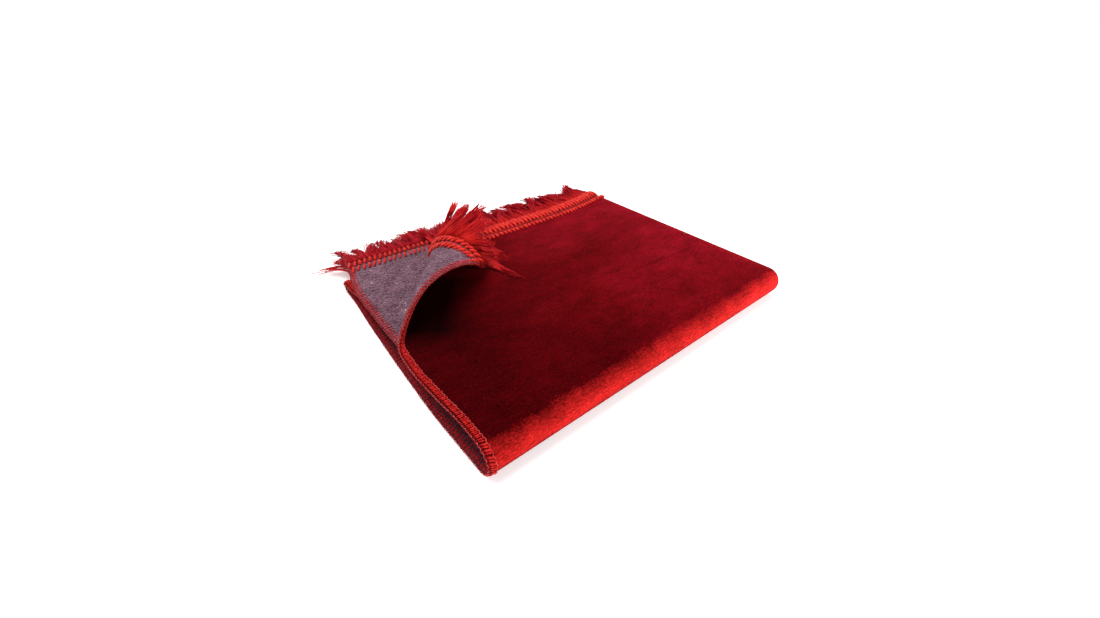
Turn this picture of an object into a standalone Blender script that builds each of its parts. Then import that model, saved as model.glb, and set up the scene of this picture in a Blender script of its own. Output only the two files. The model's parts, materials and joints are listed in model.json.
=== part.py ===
"""Prayer rug, folded in eight layers with one corner of the top layer curled over.

The rug is a velvet face laid on a felt backing, with a sewn-on trim at each short end: a braided
heading and a cut fringe. It is folded in half across its width with the velvet outside, and the
double strip this makes is folded into four along its length, so both fringed ends lie at the back.

Every piece is cut flat first, as an outline in (across, along), and each of its points is then
carried to its folded place by one rule, so the pieces stay together through all the folds.

Frame: metres, +Z up, origin at the middle of the base. -X is the side with the open overlocked
edges, +X the side with the lengthwise fold, -Y the front folds, +Y the fringed side.
"""

import math

import bmesh
import bpy
from mathutils import Vector
from mathutils.geometry import delaunay_2d_cdt

MM = 0.001

# The cloth, laid flat
CLOTH_WIDTH = 700 * MM
FELT_THICKNESS = 1.6 * MM
VELVET_THICKNESS = 1.3 * MM
GLUE_GAP = 0.3 * MM
HEADING_DEPTH = 12 * MM
HEADING_THICKNESS = 2.4 * MM
FRINGE_LENGTH = 50 * MM
FRINGE_SPREAD = 6 * MM           # how much shorter the shortest lock is
LOCK_PITCH = 18 * MM
LOCK_WIDTH = 14 * MM
LOCK_MARGIN = 2 * MM
LOCK_BEND = 25 * MM              # a lock is cut across here so that it can bend
LOCK_TAPER = 1.5 * MM            # how far a lock's tip is drawn in on each side
SPINE_DEPTH = 4 * MM
SEAM_GAP = 0.4 * MM

# The folded stack: layers a little apart, measured from the front fold's outermost line
LAYER_GAP = 0.4 * MM
STACK_WIDTH = 350 * MM
STACK_DEPTH = 275 * MM
BACK_FOLD_DEPTH = 279 * MM
SAG = 2.0                        # 1/m: fall of the free ends behind the back fold
LIFT_BLEND = 8 * MM              # a point lifted this far no longer sags
LOCK_STACKING = 0.7              # rise of the locks on the velvet, each partly on the one before
MAX_STACK = 11 * MM
REST_SOFTNESS = 2.5 * MM

# Heights out from the middle of the double strip, whose two felt sides face each other
FELT_IN = LAYER_GAP / 2
FELT_OUT = FELT_IN + FELT_THICKNESS
VELVET_IN = FELT_OUT + GLUE_GAP
VELVET_OUT = VELVET_IN + VELVET_THICKNESS
LAYER_MID = (FELT_IN + VELVET_OUT) / 2
PITCH = VELVET_OUT + LAYER_GAP / 2
HEADING_IN = LAYER_MID - HEADING_THICKNESS / 2
HEADING_OUT = LAYER_MID + HEADING_THICKNESS / 2

# Lengthwise fold at +X: the cloth turns half a circle about this line
HAIRPIN_X = STACK_WIDTH / 2 - VELVET_OUT
HAIRPIN_START = CLOTH_WIDTH / 2 - math.pi * LAYER_MID / 2
HAIRPIN_END = CLOTH_WIDTH / 2 + math.pi * LAYER_MID / 2
FRONT_Y = -STACK_DEPTH / 2

# Crosswise folds of the double strip, from end A (top) to end B: centre depth, centre height,
# radius, start angle and sweep in degrees
FRONT_CENTRE = 3 * PITCH + VELVET_OUT
MID_HEIGHT = VELVET_OUT + 3 * PITCH
TOP_HEIGHT = MID_HEIGHT + FRONT_CENTRE
FOLDS = (
    (FRONT_CENTRE, MID_HEIGHT, 3 * PITCH, 90, 180),
    (BACK_FOLD_DEPTH - PITCH - VELVET_OUT, VELVET_OUT + PITCH, PITCH, -90, 180),
    (FRONT_CENTRE, MID_HEIGHT, PITCH, -90, -180),
)
FOLD_STEPS = (10, 6, 6)
HAIRPIN_STEPS = 6

# Depth at which the cloth is cut at each end: distance from the open edge, end A, end B. The
# upper half of the strip comes first (from its open edge to the fold), then the lower half.
END_STATIONS = (
    (0 * MM, 250 * MM, 270 * MM),
    (200 * MM, 250 * MM, 270 * MM),
    (265 * MM, 252 * MM, 269 * MM),
    (310 * MM, 258 * MM, 266 * MM),
    (340 * MM, 265 * MM, 263 * MM),
    (360 * MM, 270 * MM, 261 * MM),
    (400 * MM, 276 * MM, 256 * MM),
    (460 * MM, 278 * MM, 254 * MM),
    (700 * MM, 278 * MM, 254 * MM),
)

# How far the open edges sit in from a true line: run of the strip, depth, outer layer, inner layer
EDGE_STATIONS = (
    (0, 278 * MM, 0.0 * MM, 9.5 * MM),
    (0, 254 * MM, 0.0 * MM, 2.0 * MM),
    (0, 225 * MM, 0.0 * MM, -1.5 * MM),
    (0, 160 * MM, -1.5 * MM, -1.5 * MM),
    (0, 130 * MM, -4.4 * MM, -1.0 * MM),
    (0, 95 * MM, -6.5 * MM, 0.0 * MM),
    (0, 60 * MM, -4.3 * MM, 2.0 * MM),
    (0, 30 * MM, -1.2 * MM, 3.0 * MM),
    (1, 25 * MM, -3.0 * MM, 5.0 * MM),
    (1, 75 * MM, -4.8 * MM, 7.0 * MM),
    (1, 140 * MM, -3.8 * MM, 7.0 * MM),
    (1, 200 * MM, -2.0 * MM, 6.0 * MM),
    (1, 265 * MM, 1.0 * MM, 5.0 * MM),
    (2, 262 * MM, -1.0 * MM, 6.0 * MM),
    (2, 220 * MM, 5.0 * MM, 7.5 * MM),
    (2, 30 * MM, 6.0 * MM, 8.0 * MM),
    (3, 30 * MM, 7.0 * MM, 6.0 * MM),
    (3, 270 * MM, 8.0 * MM, 6.0 * MM),
)
EDGE_FADE = 120 * MM             # the shift dies away over this much cloth

# The curled corner: it bends up along a slanting line and rolls over towards the front right
CURL_DEPTH = 120.6 * MM          # where that line leaves the open edge
CURL_ANGLE = math.radians(54.1)  # its direction, from +X
CURL_TURN = math.radians(94.3)   # bend taken up within the first few millimetres
CURL_START = 10 * MM
CURL_RATE = 30.0                 # radians per metre beyond that
CURL_TAPER = -1.81               # 1/m: the roll tightens towards the fringed end
CURL_MIDDLE = 40 * MM
CURL_LENGTH = 84 * MM
CURL_STEPS = (0, 1.7, 3.4, 5, 6.6, 8.3, 10, 16, 22, 28, 34, 40, 46, 52, 58, 64, 70, 75, 80)


def smooth(value):
    """A step from 0 to 1 with level ends."""
    value = min(max(value, 0.0), 1.0)
    return value * value * (3 - 2 * value)


def interpolate(table, key, column):
    """Straight-line reading of one column of a table whose rows rise by their first column."""
    if key <= table[0][0]:
        return table[0][column]
    for low, high in zip(table, table[1:]):
        if key <= high[0]:
            share = (key - low[0]) / (high[0] - low[0])
            return low[column] + (high[column] - low[column]) * share
    return table[-1][column]


def runs_and_arcs():
    """The strip's path: [length, depth and height at its start, direction] and fold arcs between."""
    spans = []
    depth, height, heading = STACK_DEPTH, MID_HEIGHT + 3 * PITCH, -1
    start = 0.0
    for centre, middle, radius, angle, sweep in FOLDS:
        length = abs(centre - depth)
        spans.append((start, start + length, "run", depth, height, heading))
        start += length
        arc = radius * math.pi
        spans.append((start, start + arc, "arc", centre, middle, (radius, angle, sweep)))
        start += arc
        depth = centre
        height = middle + radius * math.sin(math.radians(angle + sweep))
        heading = -heading
    spans.append((start, math.inf, "run", depth, height, heading))
    return spans


SPANS = runs_and_arcs()
RUNS = [span for span in SPANS if span[2] == "run"]


def along_at(run, depth):
    """Distance along the strip at which a run of it reaches a depth."""
    start, _, _, run_depth, _, heading = RUNS[run]
    return start + (depth - run_depth) * heading


def strip_at(along):
    """Depth and height of the strip's middle, and its outward normal, at a distance along it."""
    for start, end, kind, depth, height, rest in SPANS:
        if along <= end:
            break
    if kind == "run":
        return depth + (along - start) * rest, height, 0.0, -rest
    radius, angle, sweep = rest
    turn = math.radians(angle + sweep * (along - start) / (end - start))
    side = math.copysign(1.0, sweep)
    ray = (math.cos(turn), math.sin(turn))
    return depth + radius * ray[0], height + radius * ray[1], side * ray[0], side * ray[1]


EDGE_TABLE = [(along_at(run, depth), outer, inner) for run, depth, outer, inner in EDGE_STATIONS]


def across_at(across, along, rise):
    """X of a point and its height over the strip's middle, with the lengthwise fold taken up."""
    turn = (min(max(across, HAIRPIN_START), HAIRPIN_END) - HAIRPIN_START) / LAYER_MID
    if across < HAIRPIN_START:
        x = HAIRPIN_X - (HAIRPIN_START - across)
    else:
        x = HAIRPIN_X + rise * math.sin(turn) - max(0.0, across - HAIRPIN_END)
    column = 1 if across < CLOTH_WIDTH / 2 else 2
    margin = min(across, CLOTH_WIDTH - across)
    shift = interpolate(EDGE_TABLE, along, column) * max(0.0, 1 - margin / EDGE_FADE)
    return x + shift, rise * math.cos(turn)


def rolled(distance):
    """Forward travel, height and slope of the curl's section at a distance from its crease."""
    forward = height = 0.0
    steps = max(1, round(distance / (0.5 * MM)))
    for step in range(steps):
        slope = curl_slope(distance * (step + 0.5) / steps)
        forward += math.cos(slope) * distance / steps
        height += math.sin(slope) * distance / steps
    return forward, height, curl_slope(distance)


def curl_slope(distance):
    """Angle that the curl has turned through at a distance from its crease."""
    return CURL_TURN * smooth(distance / CURL_START) + CURL_RATE * max(0.0, distance - CURL_START / 2)


def curled(point, rise):
    """Place of a point of the flat top layer once its corner is curled, and how far it lifted."""
    axis = Vector((math.cos(CURL_ANGLE), math.sin(CURL_ANGLE), 0))
    normal = Vector((-axis.y, axis.x, 0))
    crease = Vector((-STACK_WIDTH / 2, FRONT_Y + CURL_DEPTH, point.z - rise))
    offset = point - crease
    distance = offset.dot(normal)
    if distance <= 0:
        return point, 0.0
    along_crease = offset.dot(axis)
    scale = 1 + CURL_TAPER * (along_crease - CURL_MIDDLE)
    forward, height, slope = rolled(distance / scale)
    middle = crease + axis * along_crease + normal * forward * scale
    middle.z += height * scale
    outward = normal * -math.sin(slope) + Vector((0, 0, math.cos(slope)))
    return middle + outward * rise, height * scale


def folded(across, along, rise):
    """Folded place of a point of the cloth before its free end sags, and how far it lifted."""
    depth, height, normal_y, normal_z = strip_at(along)
    x, over = across_at(across, along, rise)
    point = Vector((x, FRONT_Y + depth + over * normal_y, height + over * normal_z))
    if across < HAIRPIN_START and along < RUNS[0][1]:
        return curled(point, rise - LAYER_MID)
    return point, 0.0


def sagged(point, lift):
    """The free ends fall a little behind the back fold, except where the corner is lifted."""
    beyond = max(0.0, point.y - FRONT_Y - FOLDS[1][0])
    held = 1 - smooth(lift / LIFT_BLEND)
    return point - Vector((0, 0, SAG * beyond ** 2 * held))


def cloth_place(across, along, rise):
    """Final place of a point of the cloth or of a heading."""
    return sagged(*folded(across, along, rise))


def end_along(end, across):
    """Distance along the strip of the cloth's cut edge: end 0 is A (top), end 1 is B."""
    depth = interpolate(END_STATIONS, across, 1 + end)
    return along_at(0 if end == 0 else 3, depth)


def outward_from(end, across, distance):
    """A place on the strip this far beyond the cloth's cut edge."""
    return end_along(end, across) + (-distance if end == 0 else distance)


def lock_starts():
    """Where each lock of a fringe begins across the cloth; none hangs on the lengthwise fold."""
    count = int((HAIRPIN_START - LOCK_MARGIN) // LOCK_PITCH)
    starts = [LOCK_MARGIN + index * LOCK_PITCH for index in range(count)]
    return starts + [CLOTH_WIDTH - start - LOCK_WIDTH for start in reversed(starts)]


def lock_centre(across):
    """Middle of the lock that a place belongs to, or the place itself between two locks."""
    for start in lock_starts():
        if start - MM / 10 <= across <= start + LOCK_WIDTH + MM / 10:
            return start + LOCK_WIDTH / 2
    return across


def fringe_place(end):
    """Rule that carries a fringe's points: each lock runs straight on from the heading as one flat
    bundle, and then sags, or comes to lie on the velvet or on the lock before it."""
    def place(across, reach, rise):
        root = outward_from(end, across, HEADING_DEPTH + SEAM_GAP)
        start, _ = folded(across, root, LAYER_MID)
        middle = lock_centre(across) if reach > SPINE_DEPTH else across
        middle_root = outward_from(end, middle, HEADING_DEPTH + SEAM_GAP)
        middle_step = outward_from(end, middle, HEADING_DEPTH + SEAM_GAP + MM)
        behind, lift = folded(middle, middle_root, LAYER_MID)
        above, _ = folded(middle, middle_root, LAYER_MID + MM)
        ahead, _ = folded(middle, middle_step, LAYER_MID)
        point = start + (ahead - behind).normalized() * reach
        if lift > LIFT_BLEND:
            pile = min(LOCK_STACKING * (middle - LOCK_MARGIN), MAX_STACK)
            rest = TOP_HEIGHT + HEADING_THICKNESS + pile
            point.z = rest + REST_SOFTNESS * math.log1p(math.exp((point.z - rest) / REST_SOFTNESS))
        point += (above - behind).normalized() * (rise - LAYER_MID)
        return sagged(point, lift)
    return place


def curl_crossing(step, depth):
    """Distance across the cloth at which one of the curl's lines reaches a depth."""
    edge_depth = CURL_DEPTH + step * MM / math.cos(CURL_ANGLE)
    return (depth - edge_depth) / math.tan(CURL_ANGLE)


def curl_lines(first_depth, last_depth):
    """Lines parallel to the curl's crease, cut where they leave a piece, in flat coordinates."""
    lines = []
    for step in CURL_STEPS:
        start = max(CURL_DEPTH + step * MM / math.cos(CURL_ANGLE), first_depth)
        if start < last_depth - MM:
            lines.append(((curl_crossing(step, start), along_at(0, start)),
                          (curl_crossing(step, last_depth), along_at(0, last_depth))))
    return lines


def columns():
    """Distances across the cloth where it bends or where its cut ends change direction."""
    places = {row[0] for row in END_STATIONS} | {EDGE_FADE, CLOTH_WIDTH - EDGE_FADE}
    for step in range(HAIRPIN_STEPS + 1):
        places.add(HAIRPIN_START + (HAIRPIN_END - HAIRPIN_START) * step / HAIRPIN_STEPS)
    return sorted(places)


def slab(name, outline, lines, place, low, high, material):
    """A closed solid from a flat outline: both of its faces are placed by the same rule."""
    flat = list(outline)
    count = len(flat)
    edges = [(index, (index + 1) % count) for index in range(count)]
    for start, end in lines:
        edges.append((len(flat), len(flat) + 1))
        flat.extend((start, end))
    scaled = [Vector((across / MM, along / MM)) for across, along in flat]
    points, _, faces, *_ = delaunay_2d_cdt(scaled, edges, [list(range(count))], 1, 1e-4)
    mesh = bmesh.new()
    lower = [mesh.verts.new(place(p.x * MM, p.y * MM, low)) for p in points]
    upper = [mesh.verts.new(place(p.x * MM, p.y * MM, high)) for p in points]
    for face in faces:
        mesh.faces.new([upper[index] for index in face])
        mesh.faces.new([lower[index] for index in reversed(face)])
    used = {}
    for face in faces:
        for a, b in zip(face, face[1:] + face[:1]):
            used[(a, b)] = True
    for a, b in used:
        if (b, a) not in used:
            mesh.faces.new((upper[b], upper[a], lower[a]))
            mesh.faces.new((upper[b], lower[a], lower[b]))
    bmesh.ops.delete(mesh, geom=[v for v in mesh.verts if not v.link_faces], context="VERTS")
    if mesh.calc_volume(signed=True) < 0:
        bmesh.ops.reverse_faces(mesh, faces=mesh.faces)
    data = bpy.data.meshes.new(name)
    mesh.to_mesh(data)
    mesh.free()
    data.materials.append(material)
    piece = bpy.data.objects.new(name, data)
    bpy.context.scene.collection.objects.link(piece)
    return piece


def panel(name, low, high, material):
    """One of the two full-size cloths, cut to the rug's outline and folded."""
    stops = columns()
    near = [(across, end_along(0, across)) for across in stops]
    far = [(across, end_along(1, across)) for across in reversed(stops)]
    along_marks = [row[0] for row in EDGE_TABLE]
    first = min(along for _, along in near)
    last = max(along for _, along in far)
    lines = []
    for across in stops[1:-1]:
        lines.append(((across, end_along(0, across)), (across, end_along(1, across))))
    for (start, end, kind, *_), steps in zip(SPANS[1::2], FOLD_STEPS):
        for step in range(steps + 1):
            along = start + (end - start) * step / steps
            lines.append(((0.0, along), (CLOTH_WIDTH, along)))
    for along in along_marks:
        for inner, outer in ((0.0, EDGE_FADE), (CLOTH_WIDTH, CLOTH_WIDTH - EDGE_FADE)):
            if end_along(0, inner) < along < end_along(1, inner) and first < along < last:
                lines.append(((inner, along), (outer, along)))
    lines.extend(curl_lines(CURL_DEPTH, END_STATIONS[0][1]))
    return slab(name, near + far, lines, cloth_place, low, high, material)


def trim_stops(end, depth):
    """Places across the cloth where a trim bends, at a depth that the curl's lines cross."""
    places = set(columns())
    if end == 0:
        places |= {curl_crossing(step, depth) for step in CURL_STEPS}
    return sorted(place for place in places if 0 <= place <= CLOTH_WIDTH)


def heading(name, end, material):
    """The braid that carries a fringe, butted against the cloth's cut edge."""
    cut = END_STATIONS[0][1]
    near_depth, far_depth = cut + SEAM_GAP, cut + HEADING_DEPTH
    near = [(across, outward_from(end, across, SEAM_GAP)) for across in trim_stops(end, near_depth)]
    far = [(across, outward_from(end, across, HEADING_DEPTH)) for across in trim_stops(end, far_depth)]
    lines = []
    for across in columns()[1:-1]:
        lines.append(((across, outward_from(end, across, SEAM_GAP)),
                      (across, outward_from(end, across, HEADING_DEPTH))))
    if end == 0:
        lines += curl_lines(near_depth, far_depth)
    return slab(name, near + far[::-1], lines, cloth_place, HEADING_IN, HEADING_OUT, material)


def comb(name, end, material):
    """A fringe as one comb: a narrow spine along the heading and a row of flat locks."""
    stops = trim_stops(end, END_STATIONS[0][1] + HEADING_DEPTH + SEAM_GAP)
    outline = []
    lines = []
    for index, start in enumerate(lock_starts()):
        outline += [(stop, SPINE_DEPTH) for stop in stops if lock_gap(index) < stop < start]
        length = FRINGE_LENGTH - FRINGE_SPREAD * (0.5 + 0.5 * math.sin(2.3 * index + end))
        finish = start + LOCK_WIDTH
        outline += [(start, SPINE_DEPTH), (start + LOCK_TAPER, length),
                    (finish - LOCK_TAPER, length), (finish, SPINE_DEPTH)]
        taper = LOCK_TAPER * (LOCK_BEND - SPINE_DEPTH) / (length - SPINE_DEPTH)
        lines.append(((start, SPINE_DEPTH), (finish, SPINE_DEPTH)))
        lines.append(((start + taper, LOCK_BEND), (finish - taper, LOCK_BEND)))
    ends = (outline[0][0], outline[-1][0])
    bases = {across for across, reach in outline if reach == SPINE_DEPTH}
    bases |= {stop for stop in stops if ends[0] < stop < ends[1]}
    root = [(across, 0.0) for across in sorted(bases, reverse=True)]
    lines += [((across, 0.0), (across, SPINE_DEPTH)) for across in sorted(bases)[1:-1]]
    return slab(name, outline + root, lines, fringe_place(end), HEADING_IN, HEADING_OUT, material)


def lock_gap(index):
    """Where the gap before a lock begins."""
    return lock_starts()[index - 1] + LOCK_WIDTH if index else 0.0


def cloth_material(name, colour, roughness):
    material = bpy.data.materials.new(name)
    material.use_nodes = True
    shader = material.node_tree.nodes["Principled BSDF"]
    shader.inputs["Base Color"].default_value = (*colour, 1.0)
    shader.inputs["Roughness"].default_value = roughness
    shader.inputs["Metallic"].default_value = 0.0
    return material


def main():
    for item in list(bpy.data.objects):
        bpy.data.objects.remove(item)
    velvet = cloth_material("red_velvet", (0.22, 0.002, 0.008), 0.6)
    felt = cloth_material("grey_felt", (0.22, 0.14, 0.17), 0.95)
    yarn = cloth_material("red_yarn", (0.60, 0.02, 0.02), 0.5)
    panel("velvet_face", VELVET_IN, VELVET_OUT, velvet)
    panel("felt_backing", FELT_IN, FELT_OUT, felt)
    for end, letter in enumerate("ab"):
        heading("heading_" + letter, end, yarn)
        comb("fringe_" + letter, end, yarn)


main()
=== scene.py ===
# %% [markdown]
# # A folded prayer rug
#
# The rug is a deep red plush cloth on a grey felt backing. Its long sides are overlocked, and each
# short end carries a looped braid with a cut fringe. It lies folded in eight layers, and one corner
# of the top layer has curled over, so that the felt shows.
#
# Everything here is first made flat, as a maker would cut, stitch and knot it, and is then carried
# to its folded place by one rule. That way the cloth, its stitches and its fringe stay together
# through every fold.

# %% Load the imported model
import json
import math

import bpy
import numpy as np
from mathutils import Matrix, Vector

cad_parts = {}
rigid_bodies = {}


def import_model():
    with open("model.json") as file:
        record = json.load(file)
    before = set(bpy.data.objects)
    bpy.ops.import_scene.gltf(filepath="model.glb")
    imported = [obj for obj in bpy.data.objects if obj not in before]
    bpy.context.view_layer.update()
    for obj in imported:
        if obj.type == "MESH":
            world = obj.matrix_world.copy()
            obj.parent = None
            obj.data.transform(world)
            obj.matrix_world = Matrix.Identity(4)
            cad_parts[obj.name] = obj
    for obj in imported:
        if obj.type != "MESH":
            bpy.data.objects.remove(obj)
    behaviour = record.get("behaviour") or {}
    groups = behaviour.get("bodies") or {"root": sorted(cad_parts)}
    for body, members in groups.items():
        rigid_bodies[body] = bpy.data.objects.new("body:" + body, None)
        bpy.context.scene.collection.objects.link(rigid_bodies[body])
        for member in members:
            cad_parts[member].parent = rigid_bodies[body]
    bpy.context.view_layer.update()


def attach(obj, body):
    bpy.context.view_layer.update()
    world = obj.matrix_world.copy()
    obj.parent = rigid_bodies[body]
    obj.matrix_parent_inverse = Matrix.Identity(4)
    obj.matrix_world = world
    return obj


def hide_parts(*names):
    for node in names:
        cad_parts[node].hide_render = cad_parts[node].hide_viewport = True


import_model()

MM = 0.001

# %% [markdown]
# ## The folded path
#
# Folded in half across its width, the rug is a double strip with the velvet outside. That strip is
# then folded into four along its length. A place on it is told by three numbers: `across`, the
# distance from the first overlocked edge; `along`, the distance along the strip; and `rise`, the
# height out from the middle of the double strip, where the two felt sides face each other. The
# sizes below are the solids' own sizes.

# %% Sizes of the cloth and its folds
CLOTH_WIDTH = 700 * MM
FELT_IN, FELT_OUT = 0.2 * MM, 1.8 * MM
VELVET_IN, VELVET_OUT = 2.1 * MM, 3.4 * MM
LAYER_MID = (FELT_IN + VELVET_OUT) / 2
PITCH = VELVET_OUT + 0.2 * MM
STACK_WIDTH = 350 * MM
STACK_DEPTH = 275 * MM
BACK_FOLD_DEPTH = 279 * MM
FRONT_Y = -STACK_DEPTH / 2
FRONT_CENTRE = 3 * PITCH + VELVET_OUT
MID_HEIGHT = FRONT_CENTRE
TOP_HEIGHT = MID_HEIGHT + FRONT_CENTRE

# Lengthwise fold: the cloth turns half a circle about a line near the +X side
HAIRPIN_X = STACK_WIDTH / 2 - VELVET_OUT
HAIRPIN_START = CLOTH_WIDTH / 2 - math.pi * LAYER_MID / 2
HAIRPIN_END = CLOTH_WIDTH / 2 + math.pi * LAYER_MID / 2

# Crosswise folds, from end A on top to end B: centre depth, centre height, radius, start, sweep
FOLDS = (
    (FRONT_CENTRE, MID_HEIGHT, 3 * PITCH, 90, 180),
    (BACK_FOLD_DEPTH - PITCH - VELVET_OUT, VELVET_OUT + PITCH, PITCH, -90, 180),
    (FRONT_CENTRE, MID_HEIGHT, PITCH, -90, -180),
)


def runs_and_arcs():
    """The strip's path as straight runs and fold arcs, each with where it starts and ends."""
    spans = []
    depth, height, heading, start = STACK_DEPTH, MID_HEIGHT + 3 * PITCH, -1, 0.0
    for centre, middle, radius, angle, sweep in FOLDS:
        length = abs(centre - depth)
        spans.append((start, start + length, "run", depth, height, heading))
        start += length
        spans.append((start, start + math.pi * radius, "arc", centre, middle, (radius, angle, sweep)))
        start += math.pi * radius
        depth, heading = centre, -heading
        height = middle + radius * math.sin(math.radians(angle + sweep))
    spans.append((start, math.inf, "run", depth, height, heading))
    return spans


SPANS = runs_and_arcs()
RUNS = [span for span in SPANS if span[2] == "run"]
print("strip length to the last run, metres:", round(SPANS[-1][0], 4))


def along_at(run, depth):
    """Distance along the strip at which one of its runs reaches a depth from the front fold."""
    start, _, _, run_depth, _, heading = RUNS[run]
    return start + (depth - run_depth) * heading


# %% [markdown]
# ## Uneven edges and cut ends
#
# Nobody folds a rug perfectly. The cut ends sit back by different amounts in each layer, and the
# open edges bow in and out. Short tables of stations say by how much, and values between two
# stations are read off smoothly.

# %% Tables of the cut ends and open edges
# Distance across, depth of the cut edge at end A, depth at end B
END_STATIONS = np.array((
    (0, 250, 270),
    (200, 250, 270),
    (265, 252, 269),
    (310, 258, 266),
    (340, 265, 263),
    (360, 270, 261),
    (400, 276, 256),
    (460, 278, 254),
    (700, 278, 254),
)) * MM

# Run of the strip, depth, inward shift of the outer layer's edge, and of the inner layer's
EDGE_STATIONS = (
    (0, 278, 0.0, 9.5),
    (0, 254, 0.0, 2.0),
    (0, 225, 0.0, -1.5),
    (0, 160, -1.5, -1.5),
    (0, 130, -4.4, -1.0),
    (0, 95, -6.5, 0.0),
    (0, 60, -4.3, 2.0),
    (0, 30, -1.2, 3.0),
    (1, 25, -3.0, 5.0),
    (1, 75, -4.8, 7.0),
    (1, 140, -3.8, 7.0),
    (1, 200, -2.0, 6.0),
    (1, 265, 1.0, 5.0),
    (2, 262, -1.0, 6.0),
    (2, 220, 5.0, 7.5),
    (2, 30, 6.0, 8.0),
    (3, 30, 7.0, 6.0),
    (3, 270, 8.0, 6.0),
)
EDGE_TABLE = np.array([(along_at(run, depth * MM), outer * MM, inner * MM)
                       for run, depth, outer, inner in EDGE_STATIONS])
EDGE_FADE = 120 * MM
print("stations of the cut ends and of the open edges:", len(END_STATIONS), len(EDGE_TABLE))


def softly(places, stations, values, reach):
    """Read a table between its stations, rounding its corners over a reach either side."""
    spread = (-1.0, -0.5, 0.0, 0.5, 1.0)
    return sum(np.interp(places + reach * step, stations, values) for step in spread) / len(spread)


def end_along(end, across):
    """Distance along the strip of the cloth's cut edge: end 0 is A, on top, and end 1 is B."""
    depth = softly(across, END_STATIONS[:, 0], END_STATIONS[:, 1 + end], 12 * MM)
    return along_at(0 if end == 0 else 3, depth)


def beyond(end, across, distance):
    """A place along the strip this far beyond the cut edge."""
    return end_along(end, across) + (-distance if end == 0 else distance)


# %% [markdown]
# ## The curled corner
#
# The top layer's free corner has bent up along a slanting line and rolled over. Cloth hardly
# stretches, so the curl is part of a tube: every line parallel to the crease stays straight, and
# the section across it is a curve whose angle grows with the distance from the crease.

# %% Rule for the curl
CURL_DEPTH = 120.6 * MM
CURL_ANGLE = math.radians(54.1)
CURL_TURN = math.radians(94.3)
CURL_START = 10 * MM
CURL_RATE = 30.0
CURL_TAPER = -1.81
CURL_MIDDLE = 40 * MM


def smooth(value):
    """A step from 0 to 1 with level ends."""
    value = np.clip(value, 0.0, 1.0)
    return value * value * (3 - 2 * value)


def curl_slope(distance):
    """Angle that the curl has turned through at a distance from its crease."""
    first_turn = CURL_TURN * smooth(distance / CURL_START)
    return first_turn + CURL_RATE * np.maximum(0, distance - CURL_START / 2)


SECTION = np.linspace(0, 0.2, 2001)
STEP = SECTION[1] - SECTION[0]
SECTION_FORWARD = np.concatenate([[0], np.cumsum(np.cos(curl_slope(SECTION[:-1] + STEP / 2)) * STEP)])
SECTION_HEIGHT = np.concatenate([[0], np.cumsum(np.sin(curl_slope(SECTION[:-1] + STEP / 2)) * STEP)])
print("height that the curl's section gains, metres:", round(float(SECTION_HEIGHT.max()), 4))


def curled(points, rise):
    """Carry points of the flat top layer into the curl, and say how far each one lifts."""
    axis = np.array((math.cos(CURL_ANGLE), math.sin(CURL_ANGLE), 0))
    normal = np.array((-axis[1], axis[0], 0))
    crease = np.array((-STACK_WIDTH / 2, FRONT_Y + CURL_DEPTH, 0))
    middle = points.copy()
    middle[:, 2] -= rise
    offset = middle - crease
    offset[:, 2] = 0
    distance = offset @ normal
    down_crease = offset @ axis
    scale = 1 + CURL_TAPER * (down_crease - CURL_MIDDLE)
    scaled = np.maximum(distance, 0) / scale
    forward = np.interp(scaled, SECTION, SECTION_FORWARD) * scale
    height = np.interp(scaled, SECTION, SECTION_HEIGHT) * scale
    slope = curl_slope(scaled)
    place = crease + axis * down_crease[:, None] + normal * forward[:, None]
    place[:, 2] = middle[:, 2] + height
    outward = normal * -np.sin(slope)[:, None] + np.array((0, 0, 1)) * np.cos(slope)[:, None]
    place += outward * rise[:, None]
    lifted = distance > 0
    return np.where(lifted[:, None], place, points), np.where(lifted, height, 0.0)


# %% [markdown]
# ## One rule for every fold
#
# `folded` takes flat places and returns where they end up. It takes up the lengthwise fold first,
# then the crosswise ones, and last the curl. `sagged` lets the free ends fall a little behind the
# back fold, where nothing holds them up.

# %% From flat to folded
SAG = 2.0
LIFT_BLEND = 8 * MM


def strip_at(along):
    """Depth and height of the strip's middle, and its outward normal."""
    depth, height = np.zeros_like(along), np.zeros_like(along)
    normal_y, normal_z = np.zeros_like(along), np.zeros_like(along)
    for index, (start, end, kind, first, second, rest) in enumerate(SPANS):
        here = (along <= end) & ((along > start) | (index == 0))
        if kind == "run":
            depth[here] = first + (along[here] - start) * rest
            height[here], normal_z[here] = second, -rest
            continue
        radius, angle, sweep = rest
        turn = np.radians(angle + sweep * (along[here] - start) / (end - start))
        side = math.copysign(1.0, sweep)
        depth[here], height[here] = first + radius * np.cos(turn), second + radius * np.sin(turn)
        normal_y[here], normal_z[here] = side * np.cos(turn), side * np.sin(turn)
    return depth, height, normal_y, normal_z


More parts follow.
